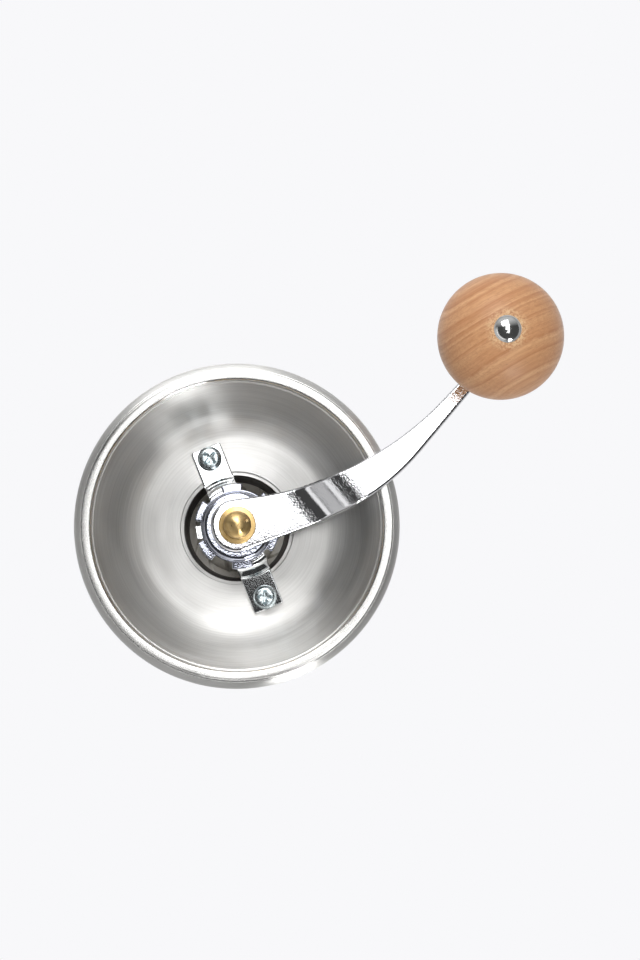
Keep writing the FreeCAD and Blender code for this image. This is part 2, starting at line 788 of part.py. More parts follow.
def make_bearing_sleeve():
    """The shaft's bearing: flatted where it slides in the bridge, round where the wheel lifts it."""
    body = new_body("bearing_sleeve", size.bridge_angle)
    low = BRIDGE_LOW - size.sleeve_hang
    step = BRIDGE_TOP + size.sleeve_flat_reach
    bore = size.shaft_radius + size.shaft_gap
    pad(body, low, step - low, outlines=[sleeve_flats(0)], circles=[(0, 0, bore)])
    pad(body, step, SLEEVE_TOP - step, circles=[(0, 0, size.sleeve_radius), (0, 0, bore)])


def make_adjuster_wheel():
    """A six-lobed wheel with a raised, bevelled middle and a threaded bore."""
    body = new_body("adjuster_wheel", size.lobe_angle)
    bore = size.sleeve_radius + size.slide_gap
    flange_top = WHEEL_LOW + size.wheel_flange
    revolve(body, [
        (bore, WHEEL_LOW),
        (size.wheel_radius, WHEEL_LOW),
        (size.wheel_radius, flange_top, size.wheel_boss_bevel / 2),
        (size.wheel_boss_radius, flange_top),
        (size.wheel_boss_radius, WHEEL_TOP - size.wheel_boss_bevel),
        (size.wheel_boss_radius - size.wheel_boss_bevel, WHEEL_TOP),
        (bore, WHEEL_TOP),
    ])
    half = math.radians(size.notch_span.number / 2)
    inner, outer = size.notch_floor_radius, size.wheel_radius + size.wheel_flange
    notch = [(inner, -inner * math.tan(half)), (outer, -outer * math.tan(half)),
             (outer, outer * math.tan(half)), (inner, inner * math.tan(half))]
    half_pitch = 180 / size.lobe_count.number
    cut = pocket(body, WHEEL_LOW, size.wheel_flange, outlines=[notch], turn=half_pitch)
    repeat_around(body, [cut], size.lobe_count)


def make_detent_spring():
    """A sprung plate between bridge and wheel, with a tab turned up into one of the wheel's notches."""
    body = new_body("detent_spring", size.detent_angle)
    width, reach, thick = size.detent_half_width, size.detent_reach, size.detent_sheet
    root = size.detent_radius - size.detent_half_width
    pad(body, BRIDGE_TOP, thick, circles=[(0, 0, size.detent_radius)])
    pad(body, BRIDGE_TOP, thick, outlines=[[(root, -width), (reach, -width), (reach, width), (root, width)]])
    tab_inner = reach - thick
    tab = [(tab_inner, -width), (reach, -width), (reach, width), (tab_inner, width)]
    pad(body, BRIDGE_TOP, size.detent_height, outlines=[tab])
    turn = size.bridge_angle.number - size.detent_angle.number
    pocket(body, BRIDGE_TOP, thick, outlines=[sleeve_flats(size.slide_gap)], turn=turn)


def make_crank_arm():
    """A flat bar, cranked upwards past its hub and trimmed to a curved, tapering plan."""
    body = new_body("crank_arm", size.crank_angle)
    thick, rise = size.crank_sheet, size.crank_rise
    back, front = size.hub_radius * 2, size.crank_radius + size.eye_radius * 2
    slope = math.atan(rise.number / (size.second_bend.number - size.first_bend.number))
    shift = thick * math.tan(slope / 2)
    tight, wide = size.bend_round, size.bend_round + thick
    profile = new_sketch(body, "XZ_Plane", axis=Vector(0, 1, 0), angle=size.bend_skew)
    draw_outline(profile, [
        (-back, CRANK_LOW),
        (size.first_bend + shift, CRANK_LOW, wide),
        (size.second_bend + shift, ARM_LOW, tight),
        (front, ARM_LOW),
        (front, ARM_TOP),
        (size.second_bend, ARM_TOP, wide),
        (size.first_bend, CRANK_TOP, tight),
        (-back, CRANK_TOP),
    ])
    bar = add_feature(body, "Pad", profile)
    bar.Midplane = True
    bind(bar, "Length", size.lower_elbow_drop * 4)
    doc.recompute()
    upper_touch, back_touch, lower_touch = 62, 159, 255
    hub_round = size.hub_radius * NEARLY_FULL
    plan = [
        (*tangent_corner(size.hub_radius, upper_touch, back_touch), hub_round),
        (*tangent_corner(size.hub_radius, back_touch, lower_touch), hub_round),
        (size.lower_elbow_reach, -size.lower_elbow_drop, size.lower_elbow_round),
        (size.crank_radius, -size.tip_lower_drop),
        (size.crank_radius, -size.tip_upper_drop),
        (size.upper_elbow_reach, -size.upper_elbow_drop, size.upper_elbow_round),
    ]
    height = rise + thick
    around = rectangle(front + back, front + back)
    pocket(body, CRANK_LOW, height, outlines=[around, plan])
    pad(body, ARM_LOW, thick, circles=[(0, 0, size.eye_radius)], out=size.crank_radius)
    hole = size.post_thread_radius + size.shaft_gap
    pocket(body, ARM_LOW, thick, circles=[(0, 0, hole)], out=size.crank_radius)
    half = size.crank_square / 2 + size.shaft_gap
    pocket(body, CRANK_LOW, thick, outlines=[rectangle(half, half)])


def make_dome_nut():
    """The brass nut on the shaft: a bevelled round flange under a dome."""
    body = new_body("dome_nut")
    bore = size.top_stud_radius + size.shaft_gap
    flange_top = CRANK_TOP + size.dome_flange_height
    top = CRANK_TOP + size.dome_height
    bore_top = CRANK_TOP + size.top_stud_length + size.shaft_gap
    step = size.dome_flange_radius - size.dome_radius
    revolve(body, [
        (bore, CRANK_TOP),
        (size.dome_flange_radius, CRANK_TOP),
        (size.dome_flange_radius, flange_top - step / 2),
        (size.dome_flange_radius - step / 2, flange_top),
        (size.dome_radius, flange_top),
        (size.dome_radius, top, size.dome_radius * NEARLY_FULL),
        (0, top),
        (0, bore_top),
        (bore, bore_top),
    ])


def make_knob_post():
    """The pin that the knob turns on: a thread through the arm, a plain stem and a domed head."""
    body = new_body("knob_post", size.crank_angle)
    low = ARM_LOW - size.post_nut_height - size.post_nut_spare
    head_low = KNOB_TOP - size.post_head_sink
    head_top = head_low + size.post_head_height
    revolve(body, [
        (0, low),
        (size.post_thread_radius, low),
        (size.post_thread_radius, ARM_TOP),
        (size.post_radius, ARM_TOP),
        (size.post_radius, head_low),
        (size.post_head_radius, head_low),
        (size.post_head_radius, head_top, size.post_head_height * DOME_ROUNDING),
        (0, head_top),
    ], size.crank_radius)


def upright_cylinder(name, radius, low, height):
    """A round cutter on the knob's axis."""
    cutter = doc.addObject("Part::Cylinder", name)
    bind(cutter, "Radius", radius)
    bind(cutter, "Height", height)
    bind(cutter, "Placement.Base.x", size.crank_radius)
    bind(cutter, "Placement.Base.z", low)
    return cutter


def make_knob_ball():
    """A turned ball with a flat foot, a bore for its post and a counterbore for the post's head."""
    ball = doc.addObject("Part::Sphere", "KnobSphere")
    bind(ball, "Radius", size.knob_radius)
    bind(ball, "Placement.Base.x", size.crank_radius)
    bind(ball, "Placement.Base.z", KNOB_CENTRE)
    bore_height = size.knob_radius * 2
    head_low = KNOB_TOP - size.post_head_sink - size.knob_clearance
    cutters = doc.addObject("Part::MultiFuse", "KnobCutters")
    cutters.Shapes = [
        upright_cylinder("KnobFoot", size.knob_radius, KNOB_LOW - size.knob_radius, size.knob_radius),
        upright_cylinder("KnobBore", size.post_radius + size.knob_bore_gap, KNOB_LOW, bore_height),
        upright_cylinder("KnobSeat", size.post_head_radius + size.post_head_gap, head_low, size.knob_radius),
    ]
    knob = doc.addObject("Part::Cut", "knob_ball")
    knob.Label = "knob_ball"
    knob.Base = ball
    knob.Tool = cutters
    knob.Placement = Placement(Vector(), Rotation(Vector(0, 0, 1), size.crank_angle.number))
    pieces.append(knob)
    doc.recompute()


def biarc(start, start_way, end, end_way):
    """Two arcs that join two points with the given directions, as edges."""
    span = end - start
    ways = start_way + end_way
    spread = 2 * (1 - start_way.dot(end_way))
    lean = 2 * span.dot(ways)
    reach = (-lean + math.sqrt(lean * lean + 4 * spread * span.dot(span))) / (2 * spread)
    first_pole = start + start_way * reach
    last_pole = end - end_way * reach
    joint = (first_pole + last_pole) / 2
    edges = []
    for left, pole, right in ((start, first_pole, joint), (joint, last_pole, end)):
        chord = (left + right) / 2
        half = (right - left).Length / 2
        height = (pole - chord).Length
        bulge = half * math.tan(math.atan2(height, half) / 2)
        middle = chord + (pole - chord).normalize() * bulge
        edges.append(Part.Arc(left, middle, right).toShape())
    return edges


def make_burr_spring():
    """A helical compression spring from the shaft's washer to the bridge, one wire on quarter-turn biarcs."""
    radius, wire = size.spring_radius.number, size.spring_wire.number
    margin = wire / 2 + size.spring_seat_gap.number
    low = SPRING_LOW.number + margin
    rise = BRIDGE_LOW.number - margin - low
    turns = size.spring_turns.number
    quarters = max(1, round(4 * turns))

    def spot(share):
        angle = 2 * math.pi * turns * share
        return Vector(radius * math.cos(angle), radius * math.sin(angle), low + rise * share)

    def way(share):
        angle = 2 * math.pi * turns * share
        around = 2 * math.pi * turns * radius
        return Vector(-around * math.sin(angle), around * math.cos(angle), rise).normalize()

    edges = []
    for k in range(quarters):
        here, there = k / quarters, (k + 1) / quarters
        edges += biarc(spot(here), way(here), spot(there), way(there))
    ring = Part.Wire(Part.Circle(spot(0), way(0), wire / 2).toShape())
    tube = Part.Wire(edges).makePipeShell([ring], True, False)
    steps_per_turn = 36
    steps = round(steps_per_turn * turns)
    points = [spot(k / steps) for k in range(steps + 1)]
    apart = steps_per_turn // 2
    gap = min(points[i].distanceToPoint(q) for i in range(steps + 1) for q in points[i + apart:]) - wire
    print(f"burr_spring least gap to itself {gap:.2f} mm")
    spring = doc.addObject("Part::Feature", "burr_spring")
    spring.Label = "burr_spring"
    spring.Shape = tube
    spring.Placement = Placement()
    pieces.append(spring)


def make_parts():
    make_glass_jar()
    make_jar_gasket()
    make_jar_collar()
    make_hopper_bowl()
    make_bridge_bracket()
    make_bridge_screws()
    make_screw_inserts()
    make_burr_housing()
    make_ring_burr()
    make_ring_retainer()
    make_retainer_screws()
    make_inner_burr()
    make_drive_shaft()
    washer_low = BURR_LOW - size.burr_washer_sheet
    make_washer("burr_washer", size.foot_stud_radius + size.seat_gap, size.burr_washer_radius, washer_low,
                size.burr_washer_sheet)
    make_hex_nut("burr_nut", size.burr_nut_flats, size.foot_stud_radius + size.shaft_gap,
                 washer_low - size.burr_nut_height, size.burr_nut_height, size.crank_angle)
    make_washer("spring_washer", size.shaft_radius + size.seat_gap, size.spring_washer_radius, SPRING_SEAT,
                size.spring_washer_sheet)
    make_burr_spring()
    make_bearing_sleeve()
    make_detent_spring()
    make_adjuster_wheel()
    make_washer("crank_washer", size.shaft_radius + size.seat_gap, size.crank_washer_radius, SLEEVE_TOP,
                size.crank_washer_sheet)
    make_crank_arm()
    make_dome_nut()
    make_washer("knob_washer", size.post_radius + size.seat_gap, size.knob_washer_radius, ARM_TOP,
                size.knob_washer_sheet, size.crank_angle, size.crank_radius)
    make_knob_post()
    make_hex_nut("post_nut", size.post_nut_flats, size.post_thread_radius + size.shaft_gap,
                 ARM_LOW - size.post_nut_height, size.post_nut_height, size.crank_angle, size.crank_radius)
    make_knob_ball()


def check_and_write():
    doc.recompute()
    for thing in doc.Objects:
        if "Invalid" in thing.State or "Error" in thing.State:
            raise RuntimeError(f"{thing.Label} failed to build: {thing.State}")
    for piece in pieces:
        if piece.Shape.isNull() or not piece.Shape.isValid() or not piece.Shape.Solids:
            raise RuntimeError(f"{piece.Label} has no valid solid")
    os.makedirs("parts", exist_ok=True)
    for piece in pieces:
        piece.Shape.exportStep(f"parts/{piece.Label}.step")
        print(f"{piece.Label}: {len(piece.Shape.Solids)} solid(s), {piece.Shape.Volume / 1000:.2f} cm3")


make_parts()
check_and_write()
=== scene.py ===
# %% [markdown]
# # A hand crank coffee grinder
# A spun steel hopper carries a bridge, a grind adjuster and a curved crank with a wooden ball knob. The solids
# come from the CAD model and stay where they are. This lesson dresses them: pieces that show get finer copies
# with rounded edges, and every finish gets its own grain, plating marks or brushing.

# %% Load the solids
import math

import bpy
from mathutils import Matrix, Vector


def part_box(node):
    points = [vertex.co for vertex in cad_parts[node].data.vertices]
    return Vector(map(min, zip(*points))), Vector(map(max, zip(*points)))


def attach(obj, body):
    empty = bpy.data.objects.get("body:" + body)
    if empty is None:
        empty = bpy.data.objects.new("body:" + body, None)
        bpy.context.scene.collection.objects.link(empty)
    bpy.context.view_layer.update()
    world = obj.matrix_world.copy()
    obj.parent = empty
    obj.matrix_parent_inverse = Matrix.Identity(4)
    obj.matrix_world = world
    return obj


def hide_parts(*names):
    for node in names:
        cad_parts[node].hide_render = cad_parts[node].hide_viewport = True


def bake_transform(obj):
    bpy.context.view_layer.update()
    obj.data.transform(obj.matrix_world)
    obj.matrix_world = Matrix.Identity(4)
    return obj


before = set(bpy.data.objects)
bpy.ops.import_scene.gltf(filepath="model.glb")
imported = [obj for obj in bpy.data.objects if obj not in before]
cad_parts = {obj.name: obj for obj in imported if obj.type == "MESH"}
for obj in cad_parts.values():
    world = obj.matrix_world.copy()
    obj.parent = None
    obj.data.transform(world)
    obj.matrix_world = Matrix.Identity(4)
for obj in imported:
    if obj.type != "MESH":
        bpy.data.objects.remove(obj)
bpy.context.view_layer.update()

MM = 0.001
TOUCH = 0.002 * MM  # points closer than this count as one place
WELD = 0.001 * MM  # points closer than this are joined

# %% [markdown]
# ## Working in edit mode from a script
# Operators act on whatever is selected, so each step starts by clearing the selection and then picks points or
# faces by their place. Picking by place keeps working when an earlier step adds points, which picking by number
# would not.


# %% Selection helpers
def clear_selection():
    """Leave edit mode with nothing selected."""
    active = bpy.context.view_layer.objects.active
    if active and active.mode == "EDIT":
        bpy.ops.object.mode_set(mode="OBJECT")
    bpy.ops.object.select_all(action="DESELECT")


def pick(piece, wanted, kind="VERT"):
    """Select the points or faces of a piece whose place passes a test, and stay in edit mode."""
    clear_selection()
    bpy.context.view_layer.objects.active = piece
    piece.select_set(True)
    bpy.ops.object.mode_set(mode="EDIT")
    bpy.ops.mesh.select_mode(type=kind)
    bpy.ops.mesh.select_all(action="DESELECT")
    bpy.ops.object.mode_set(mode="OBJECT")
    for part in piece.data.vertices if kind == "VERT" else piece.data.polygons:
        part.select = wanted(part.co if kind == "VERT" else part.center)
    bpy.ops.object.mode_set(mode="EDIT")


def pick_all(piece):
    pick(piece, lambda place: True)
    bpy.ops.mesh.select_all(action="SELECT")


def close_to(target):
    return lambda place: (place - target).length < TOUCH


# %% [markdown]
# ## Turning a section
# Bowls, nuts and pins are turned parts, so each is drawn as half a section and spun about its axis, as a lathe
# would make it. A plane merged to one point is the pen: extruding that point draws the section edge by edge.
# Corners are rounded by a vertex bevel before the spin, because rounding the finished ring would need a bevel
# on hundreds of edges.


# %% Section and lathe helpers
ROUND_STEPS = 6
SMOOTH_ANGLE = math.radians(32)


def draw_section(name, corners, axis=Vector(), closed=True):
    """Draw (radius, height, setback) corners in millimetres beside an upright axis and round them."""
    spots = [axis + Vector((corner[0], 0, corner[1])) * MM for corner in corners]
    clear_selection()
    bpy.ops.mesh.primitive_plane_add(size=MM)
    piece = bpy.context.object
    piece.name = name
    bpy.ops.object.mode_set(mode="EDIT")
    bpy.ops.mesh.select_mode(type="VERT")
    bpy.ops.mesh.merge(type="CENTER")
    bpy.ops.transform.translate(value=spots[0])
    for here, there in zip(spots, spots[1:]):
        bpy.ops.mesh.extrude_region_move(TRANSFORM_OT_translate={"value": there - here})
    if closed:
        ends = (spots[0], spots[-1])
        pick(piece, lambda place: any((place - end).length < TOUCH for end in ends))
        bpy.ops.mesh.edge_face_add()
    for corner, spot in zip(corners, spots):
        if len(corner) > 2:
            pick(piece, close_to(spot))
            bpy.ops.mesh.bevel(offset=corner[2] * MM, segments=ROUND_STEPS, affect="VERTICES")
    return piece


def spin_section(piece, axis=Vector(), steps=128):
    """Spin a drawn section once round its axis and face it outwards."""
    pick_all(piece)
    bpy.ops.mesh.spin(steps=steps, angle=2 * math.pi, center=axis, axis=(0, 0, 1))
    bpy.ops.mesh.select_all(action="SELECT")
    bpy.ops.mesh.remove_doubles(threshold=WELD)
    bpy.ops.mesh.normals_make_consistent(inside=False)
    smooth(piece)
    return piece


def smooth(piece):
    clear_selection()
    piece.select_set(True)
    bpy.context.view_layer.objects.active = piece
    bpy.ops.object.shade_smooth_by_angle(angle=SMOOTH_ANGLE)


def apply_modifier(piece, kind, **settings):
    modifier = piece.modifiers.new(kind.title(), kind)
    for name, value in settings.items():
        setattr(modifier, name, value)
    clear_selection()
    piece.select_set(True)
    bpy.context.view_layer.objects.active = piece
    bpy.ops.object.modifier_apply(modifier=modifier.name)


# %% [markdown]
# ## Softening a solid's edges
# A machined edge is never perfectly sharp, and the thin highlight along it is what makes metal look real. A copy
# of the solid is welded, its flat faces are joined again, and a bevel rounds what is left of its sharp edges.
# The copy takes the solid's place in the picture, and the solid keeps its collision.
#
# A thick bar bends over a longer way than a bevel can round, so its bends are eased first. Close cuts across each
# bend give it points, and a smooth profile then sets their height. A curve modifier could bend a straight bar, but
# it would also move the bar's far end.


# %% Softening helpers
EDGE_STEPS = 4
SHARP_ANGLE = math.radians(30)
FLAT_ANGLE = math.radians(0.2)
CUT_SPACING = 0.35 * MM
CUT_WELD = 0.06 * MM
SKIN = 0.2  # share of a bar's height that counts as its top, and as its underside


def soften(node, width, reaches=()):
    """A welded copy of a solid with its sharp edges rounded by a width in millimetres."""
    piece = bpy.data.objects.new(f"{node}_soft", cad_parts[node].data.copy())
    bpy.context.scene.collection.objects.link(piece)
    clear_selection()
    piece.select_set(True)
    bpy.context.view_layer.objects.active = piece
    bpy.ops.mesh.customdata_custom_splitnormals_clear()
    pick_all(piece)
    bpy.ops.mesh.remove_doubles(threshold=WELD)
    bpy.ops.mesh.dissolve_limited(angle_limit=FLAT_ANGLE)
    bpy.ops.object.mode_set(mode="OBJECT")
    if reaches:
        ease_bends(piece, reaches)
    apply_modifier(
        piece, "BEVEL", width=width * MM, segments=EDGE_STEPS, limit_method="ANGLE", angle_limit=SHARP_ANGLE,
        use_clamp_overlap=False, harden_normals=False)
    smooth(piece)
    apply_modifier(piece, "WEIGHTED_NORMAL", keep_sharp=True, weight=80)
    return piece


def eased(past, reach):
    """How far a slope has climbed at a distance past its corner, when the corner is eased over a reach."""
    share = min(max((past + reach) / (2 * reach), 0), 1)
    return max(past - reach, 0) + 2 * reach * (share ** 3 - share ** 4 / 2)


def ease_bends(bar, reaches):
    """Ease both bends of a cranked bar over their reaches, as thick stock bends."""
    faces = bar.data.polygons
    slope = max((face for face in faces if 0.3 < face.normal.z < 0.95), key=lambda face: face.area)
    heading = Vector((-slope.normal.x, -slope.normal.y, 0)).normalized()
    steepness = slope.normal.xy.length / slope.normal.z
    tops = [face.center.z for face in faces if face.normal.z > 0.999]
    low_top, high_top = min(tops), max(tops)
    thickness = low_top - min(point.co.z for point in bar.data.vertices)
    corners = [slope.center.dot(heading) + (top - slope.center.z) / steepness for top in (low_top, high_top)]
    set_under = thickness * math.tan(math.atan(steepness) / 2)
    for corner, reach in zip(corners, reaches):
        count = math.ceil((reach + set_under) / CUT_SPACING)
        for step in range(-count, count + 1):
            pick_all(bar)
            bpy.ops.mesh.bisect(plane_co=heading * (corner + step * CUT_SPACING), plane_no=heading)
    bpy.ops.object.mode_set(mode="OBJECT")

    def climb(along, shape):
        """Height gained at a place along the bar, when each bend has the given shape."""
        first, second = (shape(along - corner, reach) for corner, reach in zip(corners, reaches))
        return steepness * (first - second)

    for point in bar.data.vertices:
        along = point.co.dot(heading)
        if corners[0] - reaches[0] < along < corners[1] + reaches[1] + set_under:
            sharp_top = low_top + climb(along, lambda past, reach: max(past, 0))
            sharp_under = low_top - thickness + climb(along - set_under, lambda past, reach: max(past, 0))
            height = (point.co.z - sharp_under) / (sharp_top - sharp_under)
            height = min(max((height - SKIN) / (1 - 2 * SKIN), 0), 1)
            top = low_top + climb(along, eased)
            under = low_top - thickness + climb(along - set_under, eased)
            point.co.z = under + height * (top - under)
    pick_all(bar)
    bpy.ops.mesh.remove_doubles(threshold=CUT_WELD)
    bpy.ops.object.mode_set(mode="OBJECT")
    print(f"{bar.name}: bends eased at {[round(corner / MM, 1) for corner in corners]} mm")


def place(piece, body, slot, finish, *nodes):
    """Give a piece its finish and its body, and hide the solids that it stands for. The slot is not used."""
    piece.data.materials.clear()
    piece.data.materials.append(finish)
    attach(piece, body)
    if nodes:
        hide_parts(*nodes)
    print(f"{piece.name}: {len(piece.data.polygons)} faces on {body}")


def coat(finish, *nodes):
    """Give solids that stay as they are a better finish."""
    for node in nodes:
        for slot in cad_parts[node].material_slots:
            slot.material = finish


# %% [markdown]
# ## Building finishes from nodes
# Every finish starts from one shader whose constant values are typed into its sockets. What varies over the
# surface, such as grain or plating marks, is a noise in the piece's own space, so it stays put from every side.


# %% Node helpers
def new_finish(name, **sockets):
    finish = bpy.data.materials.new(name)
    finish.use_nodes = True
    shader = finish.node_tree.nodes["Principled BSDF"]
    for socket, value in sockets.items():
        shader.inputs[socket.replace("_", " ")].default_value = value
    return finish, finish.node_tree, shader


def node(tree, kind, *inputs, **settings):
    """Add a node, set its options and link or type its inputs in order."""
    made = tree.nodes.new(f"ShaderNode{kind}")
    for name, value in settings.items():
        setattr(made, name, value)
    for socket, value in zip(made.inputs, inputs):
        if isinstance(value, bpy.types.NodeSocket):
            tree.links.new(value, socket)
        elif value is not None:
            socket.default_value = value
    return made


def object_place(tree):
    return node(tree, "TexCoord").outputs["Object"]


def noise(tree, vector, scale, detail=3.0, roughness=0.5):
    made = node(tree, "TexNoise", vector)
    made.inputs["Scale"].default_value = scale
    made.inputs["Detail"].default_value = detail
    made.inputs["Roughness"].default_value = roughness
    return made.outputs["Fac"]


def math_node(tree, operation, *inputs, clamp=False):
    return node(tree, "Math", *inputs, operation=operation, use_clamp=clamp).outputs[0]


def spread(tree, value, low, high, new_low, new_high):
    """Stretch a value from one range to another, held inside it."""
    return node(tree, "MapRange", value, low, high, new_low, new_high).outputs[0]


def tint(tree, factor, *stops):
    """Colours along a factor, from (position, colour) stops."""
    made = node(tree, "ValToRGB", factor)
    ramp = made.color_ramp
    while len(ramp.elements) < len(stops):
        ramp.elements.new(0.5)
    for element, (position, colour) in zip(ramp.elements, stops):
        element.position = position
        element.color = (*colour, 1)
    return made.outputs["Color"]


def blend_colours(tree, factor, first, second, kind="MIX"):
    made = node(tree, "Mix", data_type="RGBA", blend_type=kind)
    for socket, value in zip((made.inputs[0], made.inputs[6], made.inputs[7]), (factor, first, second)):
        if isinstance(value, bpy.types.NodeSocket):
            tree.links.new(value, socket)
        else:
            socket.default_value = value if socket == made.inputs[0] else (*value, 1)
    return made.outputs[2]


def bumps(tree, shader, *layers):
    """Stack (height, strength, depth in millimetres) layers into the shader's normal."""
    normal = None
    for height, strength, depth in layers:
        made = node(tree, "Bump")
        made.inputs["Strength"].default_value = strength
        made.inputs["Distance"].default_value = depth * MM
        tree.links.new(height, made.inputs["Height"])
        if normal:
            tree.links.new(normal, made.inputs["Normal"])
        normal = made.outputs["Normal"]
    tree.links.new(normal, shader.inputs["Normal"])


# %% [markdown]
# ## Spun steel
# A spun bowl is rubbed with abrasive while it turns, so its marks are rings. Light then spreads across the rings
# and stays tight along them, which draws bright fans on the floor. The tangent follows the rings, and a noise
# that runs along radius and height but barely around the axis draws the single marks. The rim is polished more.


# %% Spun steel finish
def ring_noise(tree, vector, scale, around, detail):
    """Noise in rings about the Z axis: fine across the rings and slow around them, without a seam."""
    flat = node(tree, "VectorMath", vector, (1, 1, 0), operation="MULTIPLY").outputs[0]
    radius = node(tree, "VectorMath", flat, operation="LENGTH").outputs["Value"]
    heading = node(tree, "VectorMath", flat, operation="NORMALIZE").outputs[0]
    turn = node(tree, "SeparateXYZ", heading)
    level = node(tree, "SeparateXYZ", vector).outputs["Z"]
    made = node(tree, "TexNoise", noise_dimensions="4D")
    combined = node(
        tree, "CombineXYZ", math_node(tree, "MULTIPLY", radius, scale), math_node(tree, "MULTIPLY", level, scale),
        math_node(tree, "MULTIPLY", turn.outputs["X"], around))
    tree.links.new(combined.outputs[0], made.inputs["Vector"])
    tree.links.new(math_node(tree, "MULTIPLY", turn.outputs["Y"], around), made.inputs["W"])
    made.inputs["Scale"].default_value = 1
    made.inputs["Detail"].default_value = detail
    return made.outputs["Fac"]


def spun_steel():
    finish, tree, shader = new_finish("spun_steel", Metallic=1.0, Anisotropic=0.97, Anisotropic_Rotation=0.25)
    where = object_place(tree)
    rings = ring_noise(tree, where, 2200, 1.2, 4)
    patches = ring_noise(tree, where, 90, 1.5, 2)
    specks = noise(tree, where, 1500, 2)
    tangent = node(tree, "Tangent", direction_type="RADIAL", axis="Z").outputs[0]
    tree.links.new(tangent, shader.inputs["Tangent"])
    tree.links.new(tint(tree, rings, (0.3, (0.58, 0.575, 0.56)), (0.7, (0.70, 0.695, 0.68))),
                   shader.inputs["Base Color"])
    worn = math_node(tree, "ADD", spread(tree, rings, 0.3, 0.7, 0.31, 0.38),
                     spread(tree, patches, 0.35, 0.65, -0.03, 0.05))
    level = node(tree, "SeparateXYZ", where).outputs["Z"]
    polish = spread(tree, level, BOWL_TOP - 0.7 * MM, BOWL_TOP - 0.35 * MM, 0, -0.16)
    worn = math_node(tree, "ADD", worn, polish)
    tree.links.new(worn, shader.inputs["Roughness"])
    bumps(tree, shader, (rings, 0.10, 0.03), (specks, 0.03, 0.03))
    return finish


BOWL_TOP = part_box("hopper_bowl")[1].z
SPUN_STEEL = spun_steel()
print("spun steel with a polished rim")

# %% [markdown]
# ## Chrome, zinc and brass
# The crank and the wheel are plated castings: mirror-like, but slightly lumpy, so straight reflections break up
# into grain. The grain shows most beside the arm's bends. The wheel's plate is coloured darker and bluer than the
# arm's, as painted shade for the bluish-grey of its lobes. The head of the post is a little duller. The bridge is
# bright plate on sheet, and the other zinc plate is duller and bluer. The brass nut is turned and polished.


# %% Plated and polished metals
BEND_HEADING = (0.75, 0.66, 0)
ARM_REACH = 100
# (millimetres along the arm, share of the grain's relief)
BEND_GRAIN = [
    (14, 0.08), (18, 0.4), (20.5, 0.9), (22.5, 0.05), (31, 0.05), (33, 0.7),
    (36.5, 1.0), (39, 0.4), (43, 0.08), (64, 0.08), (74, 0.5),
]


def chrome_plate(name, colour, relief, bent=False, dull=0.0):
    """Bright plate over a casting, with grain whose relief is given in millimetres and grows beside bends."""
    finish, tree, shader = new_finish(name, Metallic=1.0, Base_Color=(*colour, 1))
    where = object_place(tree)
    lumps = noise(tree, where, 420, 3)
    grain = noise(tree, where, 1800, 2)
    tree.links.new(spread(tree, grain, 0.3, 0.7, 0.04 + dull, 0.10 + dull), shader.inputs["Roughness"])
    if bent:
        along = node(tree, "VectorMath", where, BEND_HEADING, operation="DOT_PRODUCT").outputs["Value"]
        stops = ((at / ARM_REACH, (v, v, v)) for at, v in BEND_GRAIN)
        share = tint(tree, spread(tree, along, 0, ARM_REACH * MM, 0, 1), *stops)
        grain = math_node(tree, "MULTIPLY", grain, share)
    bumps(tree, shader, (lumps, 0.2, 0.08), (grain, 0.9, relief))
    return finish


def zinc_plate():
    finish, tree, shader = new_finish("zinc_plate", Metallic=1.0)
    where = object_place(tree)
    stain = noise(tree, where, 300, 4)
    grain = noise(tree, where, 1500, 3)
    tree.links.new(tint(tree, stain, (0.3, (0.46, 0.53, 0.55)), (0.7, (0.62, 0.68, 0.70))),
                   shader.inputs["Base Color"])
    tree.links.new(spread(tree, grain, 0.3, 0.7, 0.2, 0.32), shader.inputs["Roughness"])
    bumps(tree, shader, (grain, 0.15, 0.06))
    return finish


def bridge_plate():
    finish, tree, shader = new_finish("bridge_plate", Metallic=1.0)
    where = object_place(tree)
    grain = noise(tree, where, 1900, 3)
    stain = noise(tree, where, 420, 4)
    tree.links.new(tint(tree, stain, (0.3, (0.66, 0.68, 0.69)), (0.7, (0.80, 0.81, 0.82))),
                   shader.inputs["Base Color"])
    tree.links.new(spread(tree, grain, 0.3, 0.7, 0.04, 0.09), shader.inputs["Roughness"])
    bumps(tree, shader, (stain, 0.05, 0.05), (grain, 0.2, 0.03))
    return finish


def polished_brass():
    finish, tree, shader = new_finish("polished_brass", Metallic=1.0, Anisotropic=0.85, Anisotropic_Rotation=0.25)
    where = object_place(tree)
    marks = ring_noise(tree, where, 3000, 1.0, 3)
    tarnish = noise(tree, where, 350, 3)
    tree.links.new(tint(tree, tarnish, (0.3, (0.70, 0.47, 0.19)), (0.7, (0.80, 0.58, 0.27))),
                   shader.inputs["Base Color"])
    tangent = node(tree, "Tangent", direction_type="RADIAL", axis="Z").outputs[0]
    tree.links.new(tangent, shader.inputs["Tangent"])
    tree.links.new(spread(tree, marks, 0.3, 0.7, 0.26, 0.36), shader.inputs["Roughness"])
    bumps(tree, shader, (marks, 0.1, 0.03))
    return finish


def ground_steel():
    finish, tree, shader = new_finish("ground_steel", Metallic=1.0)
    where = object_place(tree)
    marks = ring_noise(tree, where, 4000, 1.0, 3)
    tree.links.new(tint(tree, marks, (0.3, (0.42, 0.42, 0.42)), (0.7, (0.60, 0.60, 0.60))),
                   shader.inputs["Base Color"])
    tree.links.new(spread(tree, marks, 0.3, 0.7, 0.22, 0.38), shader.inputs["Roughness"])
    bumps(tree, shader, (marks, 0.15, 0.05))
    return finish


